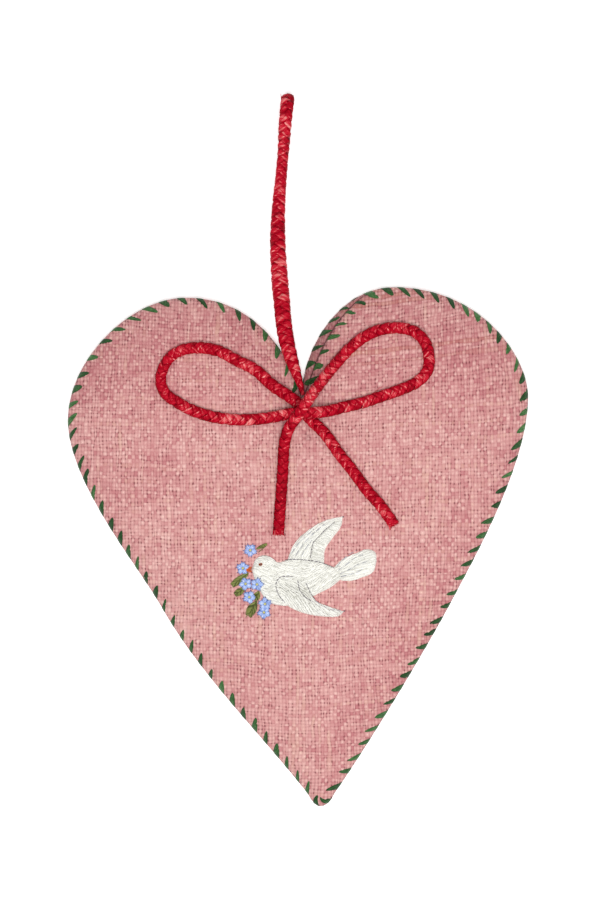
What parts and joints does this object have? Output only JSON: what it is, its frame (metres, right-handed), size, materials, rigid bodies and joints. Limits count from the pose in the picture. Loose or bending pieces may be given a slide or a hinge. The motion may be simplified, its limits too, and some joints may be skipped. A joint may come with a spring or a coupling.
{
  "type": "raffia heart ornament",
  "caption": "Padded heart of woven raffia with stitched edge, plaited hanging loop and bow, and an embroidered dove with flowers.",
  "frame": {"origin": "on the flat back, in the middle of the heart's width and height, without the cords", "axes": "+Y from the tip to the lobes, +Z out of the embroidered front, +X to the right as you look at the front"},
  "size_m": [0.1516, 0.2328, 0.0208],
  "materials": {
    "pink_raffia_cloth": "matte plain weave of pink raffia yarns",
    "green_raffia": "flat green raffia strip, slight sheen",
    "red_raffia": "plaited red raffia, slight sheen",
    "white_thread": "white satin stitch",
    "brown_thread": "orange-brown thread",
    "blue_thread": "light blue satin stitch",
    "yellow_thread": "pale yellow thread knot",
    "olive_thread": "olive green thread"
  },
  "bodies": {
    "root": {"front_panel": "pink_raffia_cloth", "back_panel": "pink_raffia_cloth", "edge_stitching": "green_raffia", "hanging_loop": "red_raffia", "bow_cord": "red_raffia", "dove": "white_thread", "dove_eye": "brown_thread", "dove_beak": "brown_thread", "forget_me_not_1": "blue_thread", "forget_me_not_2": "blue_thread", "forget_me_not_3": "blue_thread", "forget_me_not_4": "blue_thread", "forget_me_not_5": "blue_thread", "forget_me_not_6": "blue_thread", "forget_me_not_7": "blue_thread", "flower_centre_1": "yellow_thread", "flower_centre_2": "yellow_thread", "flower_centre_3": "yellow_thread", "flower_centre_4": "yellow_thread", "flower_centre_5": "yellow_thread", "flower_centre_6": "yellow_thread", "flower_centre_7": "yellow_thread", "leaf_1": "olive_thread", "leaf_2": "olive_thread", "leaf_3": "olive_thread", "leaf_4": "olive_thread", "leaf_5": "olive_thread"}
  },
  "joints": []
}
